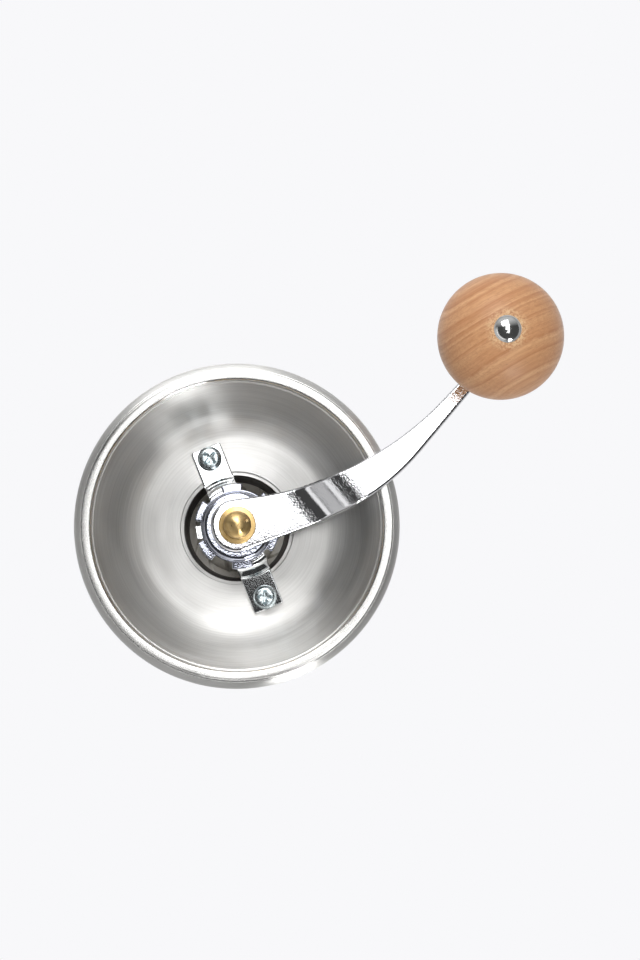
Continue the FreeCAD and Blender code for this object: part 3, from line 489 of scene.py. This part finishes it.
CHROME = chrome_plate("chrome_plate", (0.82, 0.82, 0.84), 0.26, bent=True)
# The wheel's darker, bluer base colour is painted shade, standing in for the bluish-grey its lobes reflect.
WHEEL_CHROME_PAINTED_SHADE = chrome_plate("cast_chrome_painted_shade", (0.47, 0.49, 0.57), 0.03)
CAP_CHROME = chrome_plate("cap_chrome", (0.82, 0.83, 0.82), 0.002, dull=0.06)
ZINC = zinc_plate()
BRIDGE_PLATE = bridge_plate()
BRASS = polished_brass()
GROUND_STEEL = ground_steel()
print(f"{len(bpy.data.materials)} finishes with the metals")

# %% [markdown]
# ## Beech
# The ball is turned from plain beech. Growth rings cut by the ball run across its top as reddish lines, pores
# are short dark flecks along the grain, and wax gives a faint gloss. The wood's space is turned so that its
# lines run up to the right, and stretched so that the flecks follow them. The edge of the sunk seat is chipped.


# %% Beech finish
GRAIN_ANGLE = math.radians(28)
knob_low, knob_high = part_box("knob_ball")
KNOB_AXIS = Vector(((knob_low.x + knob_high.x) / 2, (knob_low.y + knob_high.y) / 2, 0))


def beech_wood():
    finish, tree, shader = new_finish("beech_wood", Sheen_Weight=0.24, Sheen_Roughness=0.35)
    shader.inputs["Specular IOR Level"].default_value = 0.35
    where = object_place(tree)
    turned = node(tree, "Mapping", where, None, (0, math.radians(6), -GRAIN_ANGLE)).outputs[0]
    sway = noise(tree, node(tree, "Mapping", turned, None, None, (16, 60, 60)).outputs[0], 1.0, 2)
    across = node(tree, "SeparateXYZ", turned).outputs["Y"]

    def growth(per_metre, wander, detail):
        """Lines along the grain, so many to the metre, that wander a little."""
        line = math_node(tree, "ADD", math_node(tree, "MULTIPLY", across, per_metre),
                         math_node(tree, "MULTIPLY", sway, wander))
        return noise(tree, node(tree, "CombineXYZ", 0.0, line, 0.0).outputs[0], 1.0, detail, 0.6)

    bands = growth(380, 1.6, 2)
    lines = growth(820, 3.0, 3)
    blotches = noise(tree, node(tree, "Mapping", turned, None, None, (170, 620, 620)).outputs[0], 1.0, 3)
    fibres = noise(tree, node(tree, "Mapping", turned, None, None, (170, 1900, 1400)).outputs[0], 1.0, 4, 0.65)
    pores = noise(tree, node(tree, "Mapping", turned, None, None, (420, 5200, 3600)).outputs[0], 1.0, 1)
    wood = tint(
        tree, bands, (0.32, (0.53, 0.245, 0.112)), (0.48, (0.63, 0.335, 0.165)), (0.64, (0.70, 0.40, 0.21)))
    strength = math_node(
        tree, "MULTIPLY", spread(tree, lines, 0.47, 0.66, 0, 0.85), spread(tree, blotches, 0.3, 0.6, 0.3, 1))
    lined = blend_colours(tree, strength, wood, (0.43, 0.165, 0.068))
    streaked = blend_colours(tree, spread(tree, fibres, 0.42, 0.66, 0, 0.6), lined, (0.49, 0.235, 0.11))
    flecked = blend_colours(tree, spread(tree, pores, 0.66, 0.74, 0, 0.5), streaked, (0.28, 0.125, 0.06))
    from_axis = node(tree, "VectorMath", where, KNOB_AXIS, operation="SUBTRACT").outputs[0]
    level = node(tree, "VectorMath", from_axis, (1, 1, 0), operation="MULTIPLY").outputs[0]
    reach = node(tree, "VectorMath", level, operation="LENGTH").outputs["Value"]
    near_cap = spread(tree, reach, 4.8 * MM, 7.2 * MM, 1, 0)
    splinters = noise(tree, where, 1300, 3, 0.7)
    chips = math_node(tree, "MULTIPLY", near_cap, spread(tree, splinters, 0.46, 0.56, 0, 0.9))
    pits = math_node(tree, "MULTIPLY", near_cap, spread(tree, splinters, 0.38, 0.33, 0, 0.8))
    chipped = blend_colours(tree, chips, flecked, (0.78, 0.53, 0.30))
    tree.links.new(blend_colours(tree, pits, chipped, (0.26, 0.115, 0.05)), shader.inputs["Base Color"])
    tree.links.new(spread(tree, fibres, 0.3, 0.7, 0.38, 0.52), shader.inputs["Roughness"])
    bumps(tree, shader, (fibres, 0.12, 0.1), (pores, 0.08, 0.08), (chips, 0.5, 0.12))
    return finish


BEECH = beech_wood()
print("beech with grain lines, pores and chips beside the post")

# %% [markdown]
# ## Glass, nylon, ceramic and silicone
# These show little in the main picture, but they show from the side. The glass has faint waves from its mould,
# the nylon a fine moulded grain, the ceramic a dry chalky surface and the silicone a soft haze.


# %% Moulded finishes
def jar_glass():
    finish, tree, shader = new_finish(
        "jar_glass", Base_Color=(0.93, 0.975, 0.96, 1), Roughness=0.02, IOR=1.5, Transmission_Weight=1.0)
    waves = noise(tree, object_place(tree), 60, 2)
    bumps(tree, shader, (waves, 0.06, 0.6))
    return finish


def black_nylon():
    finish, tree, shader = new_finish("black_nylon")
    where = object_place(tree)
    grain = noise(tree, where, 1800, 2)
    dust = noise(tree, where, 220, 5)
    tree.links.new(tint(tree, dust, (0.45, (0.045, 0.040, 0.039)), (0.75, (0.085, 0.074, 0.070))),
                   shader.inputs["Base Color"])
    tree.links.new(spread(tree, dust, 0.3, 0.7, 0.42, 0.6), shader.inputs["Roughness"])
    bumps(tree, shader, (grain, 0.25, 0.06))
    return finish


def burr_ceramic():
    finish, tree, shader = new_finish("burr_ceramic")
    where = object_place(tree)
    grain = noise(tree, where, 2500, 3)
    stain = noise(tree, where, 240, 4)
    tree.links.new(tint(tree, stain, (0.35, (0.80, 0.77, 0.71)), (0.7, (0.88, 0.86, 0.82))),
                   shader.inputs["Base Color"])
    tree.links.new(spread(tree, grain, 0.3, 0.7, 0.45, 0.65), shader.inputs["Roughness"])
    bumps(tree, shader, (grain, 0.2, 0.05))
    return finish


def seal_silicone():
    finish, tree, shader = new_finish("seal_silicone", Subsurface_Weight=0.3, Subsurface_Scale=0.002)
    where = object_place(tree)
    haze = noise(tree, where, 500, 3)
    tree.links.new(tint(tree, haze, (0.3, (0.74, 0.74, 0.71)), (0.7, (0.84, 0.84, 0.81))),
                   shader.inputs["Base Color"])
    tree.links.new(spread(tree, haze, 0.3, 0.7, 0.4, 0.55), shader.inputs["Roughness"])
    bumps(tree, shader, (haze, 0.1, 0.08))
    return finish


JAR_GLASS = jar_glass()
NYLON = black_nylon()
CERAMIC = burr_ceramic()
SILICONE = seal_silicone()
print(f"{len(bpy.data.materials)} finishes")

# %% [markdown]
# ## The hopper bowl
# The bowl is one sheet: a flat floor with the throat in it, a leaning wall and a rim that rolls over and is
# folded down outside. It could be a cylinder pushed into shape, but the rim has a roll, a crease and a hem that
# only a drawn section gets right.

# %% Turn the bowl
bowl_low, bowl_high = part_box("hopper_bowl")
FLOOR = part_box("bridge_bracket")[0].z / MM
SHEET = FLOOR - bowl_low.z / MM
RIM_RADIUS = bowl_high.x / MM
RIM_TOP = bowl_high.z / MM
THROAT_RADIUS = 18.6
FOOT_RADIUS = 36.0

bowl = draw_section("hopper_spun", [
    (THROAT_RADIUS, FLOOR, 0.3),
    (FOOT_RADIUS, FLOOR, 6.4),
    (RIM_RADIUS - 6.3, RIM_TOP - 1.9, 0.12),
    (RIM_RADIUS - 5.85, RIM_TOP - 1.8, 0.1),
    (RIM_RADIUS - 5.7, RIM_TOP - 0.6, 0.4),
    (RIM_RADIUS - 5.1, RIM_TOP - 0.1, 0.3),
    (RIM_RADIUS - 3.7, RIM_TOP, 0.6),
    (RIM_RADIUS - 2.45, RIM_TOP - 0.07, 0.25),
    (RIM_RADIUS - 2.2, RIM_TOP - 0.5),
    (RIM_RADIUS - 2.0, RIM_TOP - 0.5, 0.15),
    (RIM_RADIUS - 0.5, RIM_TOP - 1.8, 0.6),
    (RIM_RADIUS, RIM_TOP - 2.9, 0.4),
    (RIM_RADIUS, RIM_TOP - 3.8, 0.15),
    (RIM_RADIUS - 0.5, RIM_TOP - 4.0, 0.15),
    (RIM_RADIUS - 1.1, RIM_TOP - 3.4, 0.3),
    (RIM_RADIUS - 2.4, RIM_TOP - 1.8, 0.3),
    (RIM_RADIUS - 4.95, RIM_TOP - 1.4, 0.3),
    (FOOT_RADIUS + 0.58, FLOOR - SHEET, 6.8),
    (THROAT_RADIUS, FLOOR - SHEET, 0.2),
])
spin_section(bowl, steps=192)
place(bowl, "head", "spun_steel", SPUN_STEEL, "hopper_bowl")

# %% [markdown]
# ## The wooden ball
# A sphere is the right start, because only its foot and its top are cut. Each cut plane closes the ball with a
# face. The top face is sunk for the head of the post, both faces are inset to the bore, and the two openings
# are bridged.

# %% Cut the ball
KNOB_RADIUS = (knob_high.x - knob_low.x) / 2
KNOB_CENTRE = knob_low.z + 18.6 * MM
SEAT_RADIUS = 4.55 * MM
SEAT_DEPTH = 1.7 * MM
BORE_RADIUS = 3.1 * MM
seat_level = KNOB_CENTRE + math.sqrt(KNOB_RADIUS ** 2 - SEAT_RADIUS ** 2)

clear_selection()
bpy.ops.mesh.primitive_uv_sphere_add(segments=128, ring_count=96, radius=KNOB_RADIUS)
ball = bpy.context.object
ball.name = "knob_turned"
pick_all(ball)
bpy.ops.transform.translate(value=KNOB_AXIS + Vector((0, 0, KNOB_CENTRE)))
up = Vector((0, 0, 1))
for level, side in ((knob_low.z, -1), (seat_level, 1)):
    pick_all(ball)
    bpy.ops.mesh.bisect(plane_co=KNOB_AXIS + up * level, plane_no=up * side, clear_outer=True, use_fill=True)


def cap_face(level):
    return lambda middle: (middle - KNOB_AXIS - up * level).length < 0.01 * MM


foot_radius = math.sqrt(KNOB_RADIUS ** 2 - (KNOB_CENTRE - knob_low.z) ** 2)
pick(ball, cap_face(seat_level), "FACE")
bpy.ops.mesh.extrude_region_move(TRANSFORM_OT_translate={"value": -up * SEAT_DEPTH})
bpy.ops.mesh.inset(thickness=SEAT_RADIUS - BORE_RADIUS)
bpy.ops.mesh.delete(type="FACE")
pick(ball, cap_face(knob_low.z), "FACE")
bpy.ops.mesh.inset(thickness=foot_radius - BORE_RADIUS)
bpy.ops.mesh.delete(type="FACE")


def on_bore(place):
    return abs((place - KNOB_AXIS).xy.length - BORE_RADIUS) < 0.02 * MM


pick(ball, on_bore)
bpy.ops.mesh.bridge_edge_loops()
pick_all(ball)
bpy.ops.mesh.normals_make_consistent(inside=False)
apply_modifier(ball, "BEVEL", width=0.25 * MM, segments=3, limit_method="ANGLE", angle_limit=math.radians(35))
smooth(ball)
place(ball, "knob", "beech_wood", BEECH, "knob_ball")

# %% [markdown]
# ## The post and the brass nut
# Both are turned on a lathe, so both are spun sections. The post's head is a cap cut from a ball, which works as a
# small round mirror. The nut has a flat flange with a rounded edge, and a dome.


# %% Turn the post and the nut
def dome(radius, low, high, steps=10):
    """Corners of a round dome from its edge to its top, on a quarter ellipse."""
    angles = [math.pi / 2 * k / steps for k in range(steps + 1)]
    return [(radius * math.cos(a), low + (high - low) * math.sin(a)) for a in angles]


def round_cap(radius, low, high, steps=20):
    """Corners of a cap cut from a ball, from its edge to its top."""
    ball_radius = (radius ** 2 + (high - low) ** 2) / (2 * (high - low))
    edge = math.asin(radius / ball_radius)
    angles = [edge * (1 - k / steps) for k in range(steps + 1)]
    return [(ball_radius * math.sin(a), high - ball_radius * (1 - math.cos(a))) for a in angles]


post_low, post_high = (corner.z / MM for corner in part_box("knob_post"))
ARM_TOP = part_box("crank_arm")[1].z / MM
HEAD_LOW = post_high - 3.6
post = draw_section("post_turned", [
    (0, post_low), (2.2, post_low), (2.5, post_low + 0.3), (2.5, ARM_TOP), (3.0, ARM_TOP), (3.0, HEAD_LOW),
    (4.1, HEAD_LOW), (4.2, HEAD_LOW + 0.1), *round_cap(4.2, HEAD_LOW + 1.6, post_high),
], KNOB_AXIS, closed=False)
spin_section(post, KNOB_AXIS, 64)
place(post, "drive", "chrome_plate", CAP_CHROME, "knob_post")

nut_low, nut_high = (corner.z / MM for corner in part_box("dome_nut"))
nut = draw_section("nut_turned", [
    (2.55, nut_low), (5.85, nut_low), (6.0, nut_low + 0.2), (6.0, nut_low + 2.5, 0.3),
    (4.4, nut_low + 2.62, 0.1), *dome(4.4, nut_low + 5.6, nut_high, 14)[:-1],
    (0.02, nut_high), (0.02, nut_low + 6.6), (2.55, nut_low + 6.6),
])
spin_section(nut, steps=96)
place(nut, "drive", "polished_brass", BRASS, "dome_nut")

# %% [markdown]
# ## The bridge screws
# A pan head is a disc with a generously rounded top edge. The cross recess is cut by two tapered bars, because
# the recess of a real screw narrows towards its floor.

# %% Model one screw and copy it
SCREW_SPREAD = 24.6
BRIDGE_ANGLE = math.radians(111.8)
RECESS = (5.8, 1.25, 2.4)
RECESS_TAPER = 0.55
screw_low, screw_high = (corner.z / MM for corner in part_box("bridge_screws"))
HEAD_SEAT = screw_high - 2.7


def recess_bar(angle):
    """A tapered bar that cuts one arm of the cross."""
    clear_selection()
    bpy.ops.mesh.primitive_cube_add(size=1)
    bar = bpy.context.object
    pick_all(bar)
    bpy.ops.transform.resize(value=[side * MM for side in RECESS])
    bpy.ops.transform.rotate(value=angle, orient_axis="Z", center_override=(0, 0, 0))
    middle = screw_high * MM - 0.5 * MM
    bpy.ops.transform.translate(value=(0, 0, middle))
    pick(bar, lambda place: place.z < middle)
    bpy.ops.transform.resize(value=(RECESS_TAPER, RECESS_TAPER, 1))
    bpy.ops.object.mode_set(mode="OBJECT")
    return bar


screw = draw_section("bridge_screw_a", [
    (0, screw_low), (1.5, screw_low), (2.0, screw_low + 0.5), (2.0, HEAD_SEAT), (3.8, HEAD_SEAT, 0.1),
    (4.0, HEAD_SEAT + 0.2, 0.1), (4.0, HEAD_SEAT + 1.5, 0.5), (3.6, HEAD_SEAT + 2.3, 0.6), (2.6, screw_high, 0.6),
    (0, screw_high),
], closed=False)
spin_section(screw, steps=64)
for arm_angle in (math.radians(20), math.radians(110)):
    bar = recess_bar(arm_angle)
    apply_modifier(screw, "BOOLEAN", operation="DIFFERENCE", object=bar, solver="EXACT")
    bpy.data.objects.remove(bar)
apply_modifier(screw, "BEVEL", width=0.1 * MM, segments=2, limit_method="ANGLE", angle_limit=math.radians(40))
other_screw = bpy.data.objects.new("bridge_screw_b", screw.data.copy())
bpy.context.scene.collection.objects.link(other_screw)
for piece, side in ((screw, 1), (other_screw, -1)):
    pick_all(piece)
    bpy.ops.transform.rotate(value=0.35 * side, orient_axis="Z", center_override=(0, 0, 0))
    reach = Vector((math.cos(BRIDGE_ANGLE), math.sin(BRIDGE_ANGLE), 0)) * SCREW_SPREAD * MM * side
    bpy.ops.transform.translate(value=reach)
    smooth(piece)
    place(piece, "head", "zinc_plate", ZINC, "bridge_screws")

# %% [markdown]
# ## Pressed, cast and cut pieces
# The arm, wheel, bridge and small hardware have the right shapes already. They only need softer edges, wider on
# the cast arm and narrow on thin sheet. The arm's two bends are also eased over a longer reach.

# %% Soften the hardware
ARM_BENDS = (4.8 * MM, 5.0 * MM)
SOFTENED = [
    ("crank_arm", 1.1, "drive", "chrome_plate", CHROME),
    ("adjuster_wheel", 0.6, "adjuster", "chrome_plate", WHEEL_CHROME_PAINTED_SHADE),
    ("bridge_bracket", 0.5, "head", "zinc_plate", BRIDGE_PLATE),
    ("detent_spring", 0.12, "head", "zinc_plate", BRIDGE_PLATE),
    ("bearing_sleeve", 0.2, "sleeve", "ground_steel", GROUND_STEEL),
    ("burr_nut", 0.3, "drive", "zinc_plate", ZINC),
    ("post_nut", 0.25, "drive", "zinc_plate", ZINC),
    ("drive_shaft", 0.2, "drive", "ground_steel", GROUND_STEEL),
    ("burr_housing", 0.3, "head", "black_nylon", NYLON),
]
for name, width, body, slot, finish in SOFTENED:
    reaches = ARM_BENDS if name == "crank_arm" else ()
    place(soften(name, width, reaches), body, slot, finish, name)

# %% [markdown]
# ## The burr spring
# The spring sits between the shaft's washer and the bridge, and it closes up when the shaft rises. A copy of the
# solid takes its place, with a steel finish and its placement baked into its points.

# %% Copy the spring
spring = bpy.data.objects.new("burr_spring_wound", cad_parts["burr_spring"].data.copy())
bpy.context.scene.collection.objects.link(spring)
spring.data.materials.clear()
spring.data.materials.append(GROUND_STEEL)
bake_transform(spring)
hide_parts("burr_spring")
print(f"{spring.name}: {len(spring.data.polygons)} faces between sleeve and head")

# %% [markdown]
# ## Solids that stay as they are
# These pieces sit inside or need no softer edges, so they only get their finishes.

# %% Finish the other solids
coat(JAR_GLASS, "glass_jar")
coat(SILICONE, "jar_gasket")
coat(SPUN_STEEL, "jar_collar")
coat(ZINC, "ring_retainer", "retainer_screws", "spring_washer", "burr_washer", "crank_washer", "knob_washer")
coat(BRASS, "screw_inserts")
coat(CERAMIC, "ring_burr", "inner_burr")
print("finishes given to the solids that stay")

# %% [markdown]
# ## The studio
# The grinder was photographed from almost straight above on a white table. A broad light hangs overhead, the sides
# are dim, and one side has window panes whose bars draw the thin dark line beside the arm's bends. The table is
# plain white to the camera and still bounces soft light.

# %% Table, world and lights
WHITE = (0.9386, 0.9386, 0.956, 1)
# (height of the direction, brightness)
WINDOW_PANES = [(0.0, 0.54), (0.215, 0.54), (0.235, 0.1), (0.27, 0.95), (0.37, 0.95), (0.42, 0.0)]


def white_to_camera(tree, lit):
    """Mix a lit shader with plain white that only the camera and clear glass see."""
    path = node(tree, "LightPath")
    seen = math_node(tree, "MAXIMUM", path.outputs["Is Camera Ray"], path.outputs["Is Transmission Ray"])
    glow = node(tree, "Emission", WHITE, 1.0)
    mix = node(tree, "MixShader", seen, lit, glow.outputs[0])
    return mix.outputs[0]


clear_selection()
bpy.ops.mesh.primitive_plane_add(size=6)
table = bpy.context.object
table.name = "table"
table_finish = bpy.data.materials.new("table_white")
table_finish.use_nodes = True
tree = table_finish.node_tree
matte = node(tree, "BsdfDiffuse", (0.8, 0.8, 0.81, 1))
tree.links.new(white_to_camera(tree, matte.outputs[0]), tree.nodes["Material Output"].inputs["Surface"])
table.data.materials.append(table_finish)

world = bpy.data.worlds.new("studio")
bpy.context.scene.world = world
world.use_nodes = True
tree = world.node_tree
for old in list(tree.nodes):
    tree.nodes.remove(old)
direction = node(tree, "SeparateXYZ", node(tree, "TexCoord").outputs["Generated"])
far_wall = math_node(tree, "ADD", math_node(tree, "MULTIPLY", direction.outputs["X"], -0.09),
                      math_node(tree, "MULTIPLY", direction.outputs["Y"], 0.996))
pale_wall = spread(tree, far_wall, 0.3, 0.85, 0.06, 0.55)
near_left = math_node(tree, "ADD", math_node(tree, "MULTIPLY", direction.outputs["X"], -0.8),
                      math_node(tree, "MULTIPLY", direction.outputs["Y"], -0.6))
horizon = spread(tree, direction.outputs["Z"], 0.06, 0.16, 0.46, 0.0)
panes = tint(tree, direction.outputs["Z"], *((at, (v, v, v)) for at, v in WINDOW_PANES))
doorway = math_node(tree, "MULTIPLY", panes, spread(tree, near_left, 0.5, 0.8, 0.0, 1.0))
glow = math_node(tree, "MAXIMUM", math_node(tree, "MAXIMUM", pale_wall, horizon), doorway)
room = node(tree, "Background", (1, 1, 1, 1), glow)
surface = white_to_camera(tree, room.outputs[0])
tree.links.new(surface, node(tree, "OutputWorld").inputs["Surface"])


def softbox(name, position, width, depth, watts, aim=(0.02, 0, 0.12)):
    """A rectangular soft light that faces the grinder."""
    light = bpy.data.lights.new(name, "AREA")
    light.shape = "RECTANGLE"
    light.size, light.size_y = width, depth
    light.energy = watts
    lamp = bpy.data.objects.new(name, light)
    bpy.context.scene.collection.objects.link(lamp)
    lamp.location = position
    lamp.rotation_euler = (Vector(aim) - Vector(position)).to_track_quat("-Z", "Y").to_euler()
    print(f"{name}: {watts} W")


softbox("overhead", (0.10, 0.13, 1.04), 0.34, 0.9, 3.8, aim=(0.10, 0.13, 0))
softbox("far_side", (-0.18, 0.80, 0.98), 0.8, 0.7, 7.6)
softbox("low_window", (0.45, -1.1, 0.5), 0.35, 0.3, 5.5)

# %% [markdown]
# ## The camera's own reflection
# Flat chrome under a camera shows the camera as a dark patch. A dark box stands for it, hidden from the camera and
# without a shadow. Painting the patch on the plate would be simpler, but it would not move when the pose changes.

# %% Camera body in the reflections
CAMERA_BODY_SIZE = (0.20, 0.26, 0.08)
CAMERA_BODY_PLACE = (0.02, -0.111, 0.95)
clear_selection()
bpy.ops.mesh.primitive_cube_add(size=1)
camera_body = bpy.context.object
camera_body.name = "camera_body"
pick_all(camera_body)
bpy.ops.transform.resize(value=CAMERA_BODY_SIZE)
bpy.ops.transform.translate(value=CAMERA_BODY_PLACE)
bpy.ops.object.mode_set(mode="OBJECT")
camera_body.visible_camera = False
camera_body.visible_shadow = False
body_finish = bpy.data.materials.new("camera_black")
body_finish.use_nodes = True
body_finish.node_tree.nodes["Principled BSDF"].inputs["Base Color"].default_value = (0.02, 0.02, 0.02, 1)
camera_body.data.materials.append(body_finish)
print(f"{camera_body.name}: hidden from the camera")

# %% [markdown]
# ## The camera
# The photograph is taken from about three quarters of a metre above the bowl, leaning a few degrees towards
# the knob, with the top of the picture towards +Y.

# %% Camera
EYE = Vector((-0.0002, -0.0306, 0.8821))
TARGET = Vector((0.0274, 0.0160, 0.1121))
backwards = (EYE - TARGET).normalized()
right = Vector((0, 1, 0)).cross(backwards).normalized()
upwards = backwards.cross(right)
lens = bpy.data.cameras.new("photo_camera")
lens.lens = 87.3
lens.sensor_width = 36
camera = bpy.data.objects.new("photo_camera", lens)
bpy.context.scene.collection.objects.link(camera)
camera.matrix_world = Matrix.Translation(EYE) @ Matrix((right, upwards, backwards)).transposed().to_4x4()
bpy.context.scene.camera = camera
bpy.context.scene.view_settings.view_transform = "Standard"
print(f"{camera.name}: {lens.lens:.1f} mm lens")
